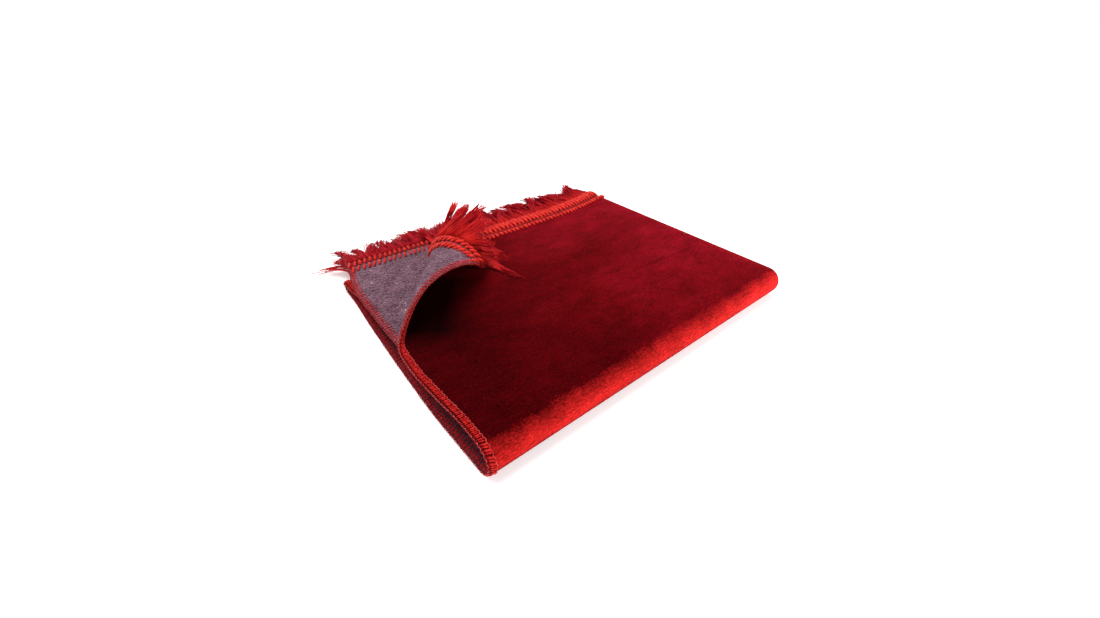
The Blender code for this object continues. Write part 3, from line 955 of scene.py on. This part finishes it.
# The strokes of one stitch: start as a share of the pitch, slant on the velvet, slant on the felt,
# reach on the felt, thickness
STROKES = ((0.05, 0.42, 0.4, 1.3, 1.60), (0.52, 0.36, 0.1, 0.7, 1.15))


def wrap_path(start, slant, back, reach):
    """A thread from the inner line on the velvet, round the edge, to the inner line on the felt."""
    top = FACE_HEIGHT + OVERLOCK_LIFT
    low = -top
    return [(BAND_WIDTH, start + slant, top - 0.15 * MM), (0.6 * BAND_WIDTH, start + 0.6 * slant, top),
            (0.2 * BAND_WIDTH, start + 0.2 * slant, EDGE_TOP + 0.45 * MM),
            (-0.3 * MM, start, EDGE_TOP * 0.6), (-0.3 * MM, start, -EDGE_TOP * 0.6),
            (0.35 * BAND_WIDTH, start + 0.3 * back, low * 0.9), (reach * BAND_WIDTH, start + back, low)]


def overlock_stitch():
    """One pitch of the thick strokes that wrap the edge."""
    pitch = STITCH_PITCH
    return joined(*[thread(wrap_path(pitch * share, pitch * slant, pitch * back, reach),
                           THREAD_RADIUS * size * WRAP_SIZES, 5)
                    for share, slant, back, reach, size in STROKES])


def rim_zigzag(length):
    """One pitch of the thread that runs up and down the rim between the strokes."""
    return [(-0.70 * MM, 0, -0.9 * MM), (-0.85 * MM, 0.22 * length, 0.2 * MM),
            (-0.60 * MM, 0.42 * length, 1.3 * MM), (-0.85 * MM, 0.70 * length, 0.4 * MM),
            (-0.70 * MM, 1.0 * length, -0.9 * MM)]


def needle_stitch():
    """The finer threads: a small arch along the inner line and a zigzag on the rim."""
    pitch, top = STITCH_PITCH, FACE_HEIGHT + 3.8 * OVERLOCK_LIFT
    path = [(BAND_WIDTH, 0, top - 0.4 * MM), (BAND_WIDTH - 0.6 * MM, 0.25 * pitch, top + 0.1 * MM),
            (BAND_WIDTH - 0.1 * MM, 0.55 * pitch, top + 0.2 * MM),
            (BAND_WIDTH + 0.3 * MM, 0.8 * pitch, top - 0.1 * MM),
            (BAND_WIDTH, 1.02 * pitch, top - 0.4 * MM)]
    return joined(thread(path, 0.26 * MM, 4), thread(rim_zigzag(pitch), 0.25 * MM, 4))


# %% Rows of overlock down both sides
CLOTH_LENGTH = float(end_along(1, np.array([0.0]))[0] - end_along(0, np.array([0.0]))[0])
print("length of the long side, metres:", round(CLOTH_LENGTH, 4))


def side_rule(side):
    """Carries a flat row, measured in from the edge and along it, to one long side of the cloth."""
    def rule(inward, length, rise):
        across = inward if side == 0 else CLOTH_WIDTH - inward
        inside = np.full_like(inward, 0.0 if side == 0 else CLOTH_WIDTH)
        first, last = end_along(0, inside), end_along(1, inside)
        along = first + (last - first) * (length / CLOTH_LENGTH)
        height = LAYER_MID + rise * (1 - 0.25 * np.exp(-np.maximum(inward, 0) / EDGE_SQUEEZE_REACH))
        places, lift = folded(np.clip(across, 0, CLOTH_WIDTH), along, height)

        # What lies past the rim has no cloth under it, so it goes straight on from the rim
        past = np.minimum(inward, 0)[:, None]
        inner, _ = folded(np.clip(across, 0, CLOTH_WIDTH) + (MM if side == 0 else -MM), along, height)
        away = (inner - places) / MM
        return sagged(places + away * past, lift)
    return rule


def overlock(side, shape, name, finish, seed):
    count = int((CLOTH_LENGTH - 2 * MM) // STITCH_PITCH)
    flat, faces = row_of(shape, count, STITCH_PITCH, seed, turn=0.05, size=0.03, wander=0.12 * MM)
    piece = make_piece(name, flat, faces, side_rule(side)(*flat.T), finish)
    print(name, "stitches", count, "triangles", triangles_of(piece.data))
    return piece


sides = []
for side, letter in enumerate("ab"):
    sides.append(overlock(side, overlock_stitch(), "overlock_" + letter, "overlock_thread", 11 + side))
    sides.append(overlock(side, needle_stitch(), "needle_line_" + letter, "chain_thread", 21 + side))

# %% [markdown]
# ## Looped braid
#
# The trim is a braid sewn along the cut edge. On the velvet side a row of small round loops lies
# on the cloth, then comes a sunk seam with its thread, then a band of upright cords. On the felt
# side two rows of fat loops lie against each other like a herringbone.

# %% Loops, cords and seam of the braid
LOOP_PITCH = 5.7 * MM
VELVET_SIDE, CORD_LEVEL, FELT_SIDE = 1.6 * MM, 0.7 * MM, -1.6 * MM

# The loops of one pitch, in millimetres: from and to beyond the cut edge, width, height and lean.
# Then the place as a share of the pitch, and the level
BRAID_LOOPS = (
    (-9.8, -4.6, 2.0, 1.6, 0.0, 0.50, VELVET_SIDE),
    (3.0, 18.0, 1.45, 2.4, 0.8, 0.30, CORD_LEVEL),
    (3.4, 20.0, 1.35, 2.1, -0.6, 0.78, CORD_LEVEL),
    (-12.5, -3.5, 1.45, 1.1, 0.9, 0.30, FELT_SIDE),
    (-1.5, 7.5, 1.5, 1.5, 0.7, 0.72, FELT_SIDE),
)


def bean(start, end, width, height, lean):
    """A fat rounded loop from one distance beyond the cut edge to another."""
    turns = np.linspace(0, math.pi, 7)
    middle, half = (start + end) / 2, (end - start) / 2
    path = [(lean * math.cos(turn), middle - half * math.cos(turn),
             height * (0.35 + 0.65 * math.sin(turn))) for turn in turns]
    sizes = width * (0.45 + 0.55 * np.sin(np.linspace(0.25, math.pi - 0.25, 7)))
    return thread(path, sizes, 6)


def shifted(shape, across, level):
    """The shape moved across and to its level; below the middle it is turned over to the felt side."""
    places, faces = shape
    if level < 0:
        places, faces = places * (1, 1, -1), [face[::-1] for face in faces]
    return places + (across, 0, level), faces


def braid_unit():
    """One pitch of the braid: across it, beyond the cut edge and out from the layer's middle."""
    loops = []
    for *sizes, share, level in BRAID_LOOPS:
        loop = bean(*(size * MM for size in sizes))
        loops.append(shifted(loop, LOOP_PITCH * share, level))
    return joined(*loops)


print("loops across one end:", int(CLOTH_WIDTH / LOOP_PITCH))

# %% Rows of braid on both ends
SEAM_PITCH = 3.2 * MM

# The flat tape under the loops, as a section: beyond the cut edge and out from the layer's middle
TAPE_SECTION = (
    (-9.0 * MM, VELVET_SIDE), (-8.5 * MM, 1.95 * MM), (0.5 * MM, 2.0 * MM), (2.8 * MM, 1.4 * MM),
    (19 * MM, 1.2 * MM), (19 * MM, -0.7 * MM), (4 * MM, -1.2 * MM), (0.6 * MM, -1.7 * MM),
    (0.6 * MM, 1.4 * MM),
)


def end_rule(end):
    """Carries flat places, across and beyond the cut edge, to one end of the cloth."""
    def rule(across, outward, rise):
        along = beyond(end, across, outward)
        return on_cloth(across, along, LAYER_MID + rise)
    return rule


def across_row(shape, pitch, count, seed, **spread):
    """A row that runs across the cloth: made along +Y, then turned."""
    places, faces = shape
    lying = np.stack([-places[:, 1], places[:, 0], places[:, 2]], axis=1)
    made, made_faces = row_of((lying, faces), count, pitch, seed, **spread)
    return np.stack([made[:, 1], -made[:, 0], made[:, 2]], axis=1), made_faces


def braid(end, name, seed):
    count = int(CLOTH_WIDTH / LOOP_PITCH)
    pitch = CLOTH_WIDTH / count
    flat, faces = across_row(braid_unit(), pitch, count, seed, turn=0.06, size=0.05, wander=0.2 * MM)
    piece = make_piece(name, flat, faces, end_rule(end)(*flat.T), "heading_yarn")
    print(name, "loops", count, "triangles", triangles_of(piece.data))
    return piece


def band(end, name):
    """The tape itself: one closed band that runs the whole width of the cloth."""
    section = np.array(TAPE_SECTION)
    across = across_places(6 * MM)
    flat = np.zeros((len(across), len(section), 3))
    flat[:, :, 0] = across[:, None]
    flat[:, :, 1:] = section[None]
    flat = flat.reshape(-1, 3)
    faces = tube_faces(len(across), len(section))
    return make_piece(name, flat, faces, end_rule(end)(*flat.T), "braid_tape")


def seam(end, name):
    """The sewing thread in the sunk line between the loops and the cords."""
    unit = thread([(0, 2.2 * MM, 1.7 * MM), (0.8 * MM, 2.0 * MM, 2.2 * MM),
                   (2.4 * MM, 2.0 * MM, 2.2 * MM), (3.1 * MM, 2.2 * MM, 1.7 * MM)], 0.22 * MM, 4)
    count = int(CLOTH_WIDTH / SEAM_PITCH)
    flat, faces = across_row(unit, SEAM_PITCH, count, 3)
    return make_piece(name, flat, faces, end_rule(end)(*flat.T), "chain_thread")


braids, bands, seams = [], [], []
for end, letter in enumerate("ab"):
    braids.append(braid(end, "braid_loops_" + letter, 31 + end))
    bands.append(band(end, "braid_tape_" + letter))
    seams.append(seam(end, "braid_seam_" + letter))

# %% [markdown]
# ## Fringe
#
# The fringe is thousands of soft strands that cling together in pointed locks. A Geometry Nodes
# tree makes them flat: a line of roots with a strand on each. Every strand is then drawn towards
# the tip of its lock and waves a little on its own. It keeps its root's place as an attribute named
# `root`, because the whole strand follows the cloth where it grows.

# %% The fringe tree
FRINGE_ROOT = 12 * MM
FRINGE_LENGTH = 57 * MM
FRINGE_MARGIN = 2 * MM
STRAND_POINTS = 7


def per_lock(graph, lock, low, high, seed):
    """A random number that all strands of one lock share."""
    return graph.node("FunctionNodeRandomValue", {"data_type": "FLOAT"},
                      {2: low, 3: high, "ID": lock, "Seed": seed}, output=1)


def fringe_tree():
    graph, wires = new_growth("fringe", {
        "Strands": "Int", "Pitch": "Float", "Length": "Float", "Uneven": "Float", "Lock": "Float",
        "Gather": "Float", "Lean": "Float", "Wave": "Float", "Depth": "Float", "Radius": "Float",
        "Seed": "Int", "Material": "Material"})
    seed, width = wires["Seed"], wires["Pitch"] * wires["Strands"]
    line = graph.node("GeometryNodeMeshLine", {"mode": "OFFSET"},
                      {"Count": wires["Strands"], "Offset": vector(graph, wires["Pitch"], 0.0, 0.0)})
    scatter = vector(graph, either_way(graph, wires["Pitch"] * 2, seed),
                     either_way(graph, 2.0 * MM, seed + 1), either_way(graph, wires["Depth"], seed + 2))
    roots = graph.node("GeometryNodeSetPosition", {}, {"Geometry": line, "Offset": scatter})
    strand = graph.node("GeometryNodeCurvePrimitiveLine", {},
                        {"Start": (0, 0, 0), "End": vector(graph, 0.0, wires["Length"], 0.0)})
    strand = graph.node("GeometryNodeResampleCurve", {}, {"Curve": strand, "Count": STRAND_POINTS})
    long = random_float(graph, 0.78, 1.0, seed + 3)
    strands = graph.node("GeometryNodeInstanceOnPoints", {},
                         {"Points": roots, "Instance": strand, "Scale": vector(graph, 1.0, long, 1.0)})
    loose = graph.node("GeometryNodeRealizeInstances", {}, {0: strands})

    # While a strand is straight, the place across is its root's
    root, reach, _ = graph.parts(graph.node("GeometryNodeInputPosition"))
    loose = graph.node("GeometryNodeStoreNamedAttribute", {"data_type": "FLOAT", "domain": "POINT"},
                       {"Geometry": loose, "Name": "root", "Value": root})

    # Locks of uneven width: each strand knows its lock's number and how far its middle is
    drift = graph.node("ShaderNodeTexNoise", {"noise_dimensions": "1D"},
                       {"W": root, "Scale": 45.0, "Detail": 1.0})
    count = root / wires["Lock"] + drift * 2.2
    lock = count.maths("FLOOR")
    aside = (lock + 0.5 - count) * wires["Lock"]
    share = graph.node("GeometryNodeSplineParameter")

    # At the corners some strands lean out past the rug, and the locks next to them lean less
    corner = (root * -90).maths("EXPONENT") * -0.50
    steady = 1 - ((width - root) * -45).maths("EXPONENT") * 0.8
    stray = ((width - root) * -150).maths("EXPONENT") * 1.6
    own = graph.node("ShaderNodeTexWhiteNoise", {"noise_dimensions": "1D"}, {"W": root * 9000})
    lean = per_lock(graph, lock, -0.5, 0.5, seed + 4) * wires["Lean"] * steady
    lean = lean + corner * own * own + stray * own ** 5 * 0.10

    # Strands draw together towards their lock's tip, less near the corner and not at the side fold
    calm = ((root - 60 * MM) * 12).clamped() * 0.65 + 0.35
    pull = share ** 1.5 * (aside * calm * wires["Gather"] + reach * (lean + (own - 0.5) * 0.20))
    from_fold = (root / width * 2 - 1).maths("ABSOLUTE")
    pull = pull * (from_fold * 14.0).maths("MINIMUM", 1.0)
    shorter = share * reach * -1 * per_lock(graph, lock, 0.0, 1.0, seed + 5) * wires["Uneven"]
    rise = share * share * per_lock(graph, lock, -1.0, 3.4, seed + 6) * 2.8 * MM
    gathered = graph.node("GeometryNodeSetPosition", {},
                          {"Geometry": loose, "Offset": vector(graph, pull, shorter, rise)})
    wobble = graph.node("ShaderNodeTexNoise", {}, {"Vector": graph.node("GeometryNodeInputPosition"),
                                                   "Scale": 210.0, "Detail": 1.0}, output=1)
    centred = graph.node("ShaderNodeVectorMath", {"operation": "SUBTRACT"},
                         {0: wobble, 1: (0.5, 0.5, 0.5)})
    swing = graph.node("ShaderNodeVectorMath", {"operation": "SCALE"},
                       {0: centred, "Scale": share * wires["Wave"]})
    waved = graph.node("GeometryNodeSetPosition", {}, {"Geometry": gathered, "Offset": swing})
    thin = graph.node("GeometryNodeSetCurveRadius", {}, {"Curve": waved, "Radius": 1 - share * 0.5})
    ring = graph.node("GeometryNodeCurvePrimitiveCircle", {"mode": "RADIUS"},
                      {"Resolution": 3, "Radius": wires["Radius"]})
    solid = graph.node("GeometryNodeCurveToMesh", {}, {"Curve": thin, "Profile Curve": ring,
                                                       "Fill Caps": True})
    return close_growth(graph, solid, wires["Material"])


FRINGE_TREE = fringe_tree()

# %% [markdown]
# The strands of the curled corner run straight on from it, as short stiff yarn does, and come to
# rest on the velvet. Next to the curl they part: those on the cloth lie flat, and those on the curl
# stand together as one crest. The very corner ends in a tuft that hangs over the edge.

# %% Carrying the fringe
# Strands rest this far above the velvet, and higher the further across the cloth they grow
REST_HEIGHT, LOCK_STACKING, MAX_STACK = 1.5 * MM, 0.25, 8 * MM
REST_SOFTNESS = 2.5 * MM

# Root across the cloth, in millimetres, and the place whose direction the strand takes instead
PARTING = ((0, 50, 94, 94.05, 106, 700), (0, 62, 82, 103, 106, 700))

# The tuft: its tip, how far across it reaches, how softly it ends, and how far its strands keep apart
TUFT_TIP = np.array((-43.0, 9.0, 34.0)) * MM
TUFT_REACH, TUFT_FADE = 26 * MM, 10 * MM
TUFT_ROOT, TUFT_SPREAD, TUFT_LOOSENESS = 6 * MM, 0.85, 0.45


def fringe_rule(end):
    """Strands run straight on from the braid, then sag, or come to lie on the velvet."""
    def rule(across, reach, rise, root):
        root = np.clip(root, 0.5 * MM, CLOTH_WIDTH - 0.5 * MM)
        held = np.interp(root, *(np.array(row) * MM for row in PARTING)) if end == 0 else root
        mid = np.full_like(across, LAYER_MID)
        foot = beyond(end, root, FRINGE_ROOT)
        start, lift = folded(root, foot, mid)
        beside, _ = folded(root + MM, beyond(end, root + MM, FRINGE_ROOT), mid)
        above, _ = folded(root, foot, mid + MM)
        base, _ = folded(held, beyond(end, held, FRINGE_ROOT), mid)
        ahead, _ = folded(held, beyond(end, held, FRINGE_ROOT + MM), mid)
        straight = (ahead - base) / MM * reach[:, None]
        aside = (beside - start) / MM * (across - root)[:, None]
        points = start + straight + aside
        if end == 0:
            points = tufted(points, start, straight, root, reach)
        rest = TOP_HEIGHT + REST_HEIGHT + np.minimum(LOCK_STACKING * root, MAX_STACK)
        floored = rest + REST_SOFTNESS * np.log1p(np.exp((points[:, 2] - rest) / REST_SOFTNESS))
        points[:, 2] = np.where(lift > LIFT_BLEND, floored, points[:, 2])
        points += (above - start) / MM * rise[:, None]
        return sagged(points, lift)
    return rule


def tufted(points, start, straight, root, reach):
    """Bend the strands of the very corner over to the tuft's tip."""
    share = (reach / FRINGE_LENGTH)[:, None]
    weight = smooth((TUFT_REACH + TUFT_FADE - root) / TUFT_FADE)[:, None]
    corner = start[np.argmin(np.abs(root - TUFT_ROOT))]
    tip = TUFT_TIP + (start - corner) * TUFT_SPREAD + (points - start - straight) * TUFT_LOOSENESS
    bend = start + straight / np.maximum(share, 0.05) * 0.25
    curve = (1 - share) ** 2 * start + 2 * (1 - share) * share * bend + share ** 2 * tip
    return points * (1 - weight) + curve * weight


def fringe(end, name, strands, seed):
    pitch = (CLOTH_WIDTH - 2 * FRINGE_MARGIN) / strands
    settings = {"Strands": strands, "Pitch": pitch, "Length": FRINGE_LENGTH, "Uneven": 0.36,
                "Lock": 6.5 * MM, "Gather": 0.55, "Lean": 0.46, "Wave": 7 * MM, "Depth": 1.8 * MM,
                "Radius": 0.42 * MM, "Seed": seed, "Material": FINISHES["fringe_yarn"]}
    flat, faces, roots = grow(FRINGE_TREE, bpy.data.meshes.new("roots"), settings)
    flat[:, 0] += FRINGE_MARGIN
    places = fringe_rule(end)(*flat.T, roots + FRINGE_MARGIN)
    piece = make_piece(name, flat, faces, places, "fringe_yarn")
    print(name, "strands", strands, "triangles", triangles_of(piece.data))
    return piece


fringes = [fringe(0, "fringe_strands_a", 4600, 41), fringe(1, "fringe_strands_b", 3000, 51)]

# %% [markdown]
# ## What rides on what
#
# The rug has no joints, so every piece rides on the one body, and the new pieces stand for the plain
# solids.

# %% Ride and replace
trimmings = [*sides, *braids, *bands, *seams, *fringes]
for piece in [velvet, felt, *trimmings]:
    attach(piece, "root")
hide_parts("velvet_face")
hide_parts("felt_backing")
for end, letter in enumerate("ab"):
    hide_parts("heading_" + letter)
    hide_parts("fringe_" + letter)
print("pieces on the body:", 2 + len(trimmings))

# %% [markdown]
# ## Floor, lights and camera
#
# A large pale floor carries the rug. A soft distant light comes from behind and above, and a weak
# lamp from the front right. Two things here aren't plain studio light: the walls look white but
# light the rug only a third as much, and the floor glows a little, which thins the shadows. The
# camera stands close, a little above the rug's front left corner, with a wide lens.

# %% Stage
FLOOR_HALF = 40.0
FLOOR_GLOW = 0.40
WALL_FILL = 0.34


def make_floor():
    data = bpy.data.meshes.new("floor")
    low, high = -FLOOR_HALF, FLOOR_HALF
    data.from_pydata([(low, low, 0), (high, low, 0), (high, high, 0), (low, high, 0)], [],
                     [(0, 1, 2, 3)])
    floor = bpy.data.objects.new("floor", data)
    bpy.context.scene.collection.objects.link(floor)
    material = bpy.data.materials.new("floor_paper")
    material.use_nodes = True
    shader = material.node_tree.nodes["Principled BSDF"]
    shader.inputs["Base Color"].default_value = (0.92, 0.92, 0.92, 1)
    shader.inputs["Roughness"].default_value = 0.9
    shader.inputs["Emission Color"].default_value = (1, 1, 1, 1)
    shader.inputs["Emission Strength"].default_value = FLOOR_GLOW
    data.materials.append(material)


def make_lamp(name, place, target, size, power):
    """A round lamp of a width in metres and a power in watts."""
    data = bpy.data.lights.new(name, "AREA")
    data.shape, data.size, data.energy = "DISK", size, power
    light = bpy.data.objects.new(name, data)
    light.location = place
    light.rotation_euler = (Vector(target) - Vector(place)).to_track_quat("-Z", "Y").to_euler()
    bpy.context.scene.collection.objects.link(light)


def make_sun(name, turn, height, strength, angle):
    """A soft distant light: its turn from +X towards +Y, its height and its width are in degrees."""
    data = bpy.data.lights.new(name, "SUN")
    data.energy, data.angle = strength, math.radians(angle)
    light = bpy.data.objects.new(name, data)
    turn, height = math.radians(turn), math.radians(height)
    source = Vector((math.cos(height) * math.cos(turn), math.cos(height) * math.sin(turn),
                     math.sin(height)))
    light.rotation_euler = source.to_track_quat("Z", "Y").to_euler()
    bpy.context.scene.collection.objects.link(light)


make_floor()
bpy.context.scene.view_settings.view_transform = "Standard"
make_sun("key", 110, 66, 2.9, 50)
make_lamp("front_fill", (0.8, -1.3, 0.6), (0.05, -0.1, 0), 0.7, 20)

# The studio's walls are white to look at, but lit so softly that they hardly fill the shadows
world = bpy.data.worlds.new("studio")
world.use_nodes = True
walls = Graph(world.node_tree)
backdrop = world.node_tree.nodes["Background"]
backdrop.inputs["Color"].default_value = (1, 1, 1, 1)
seen = walls.node("ShaderNodeLightPath")
world.node_tree.links.new((seen * (1 - WALL_FILL) + WALL_FILL).socket, backdrop.inputs["Strength"])
bpy.context.scene.world = world
print("lights:", sorted(data.name for data in bpy.data.lights))

# %% Camera
CAMERA_PLACE = Vector((-0.2510, -0.2766, 0.2452))
CAMERA_TURN = math.radians(40.01)     # to the right of +Y
CAMERA_DOWN = math.radians(35.38)
CAMERA_ROLL = math.radians(1.444)
CAMERA_LENS, SENSOR_WIDTH = 14.017, 36    # mm

ahead = Vector((math.cos(CAMERA_DOWN) * math.sin(CAMERA_TURN),
                math.cos(CAMERA_DOWN) * math.cos(CAMERA_TURN), -math.sin(CAMERA_DOWN)))
level = Vector((math.cos(CAMERA_TURN), -math.sin(CAMERA_TURN), 0))
upright = level.cross(ahead)
right = level * math.cos(CAMERA_ROLL) + upright * math.sin(CAMERA_ROLL)
up = upright * math.cos(CAMERA_ROLL) - level * math.sin(CAMERA_ROLL)

camera_data = bpy.data.cameras.new("camera")
camera_data.sensor_fit = "HORIZONTAL"
camera_data.sensor_width = SENSOR_WIDTH
camera_data.lens = CAMERA_LENS
camera_data.clip_start = 0.01
camera = bpy.data.objects.new("camera", camera_data)
turn = Matrix((right, up, -ahead)).transposed()
camera.matrix_world = Matrix.Translation(CAMERA_PLACE) @ turn.to_4x4()
bpy.context.scene.collection.objects.link(camera)
bpy.context.scene.camera = camera
print("camera place, metres:", tuple(round(part, 4) for part in CAMERA_PLACE))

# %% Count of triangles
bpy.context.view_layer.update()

# The solids are only hidden, so they stay in the scene beside the new pieces
total = sum(triangles_of(piece.data) for piece in [velvet, felt, *trimmings])
print("triangles in all:", total)
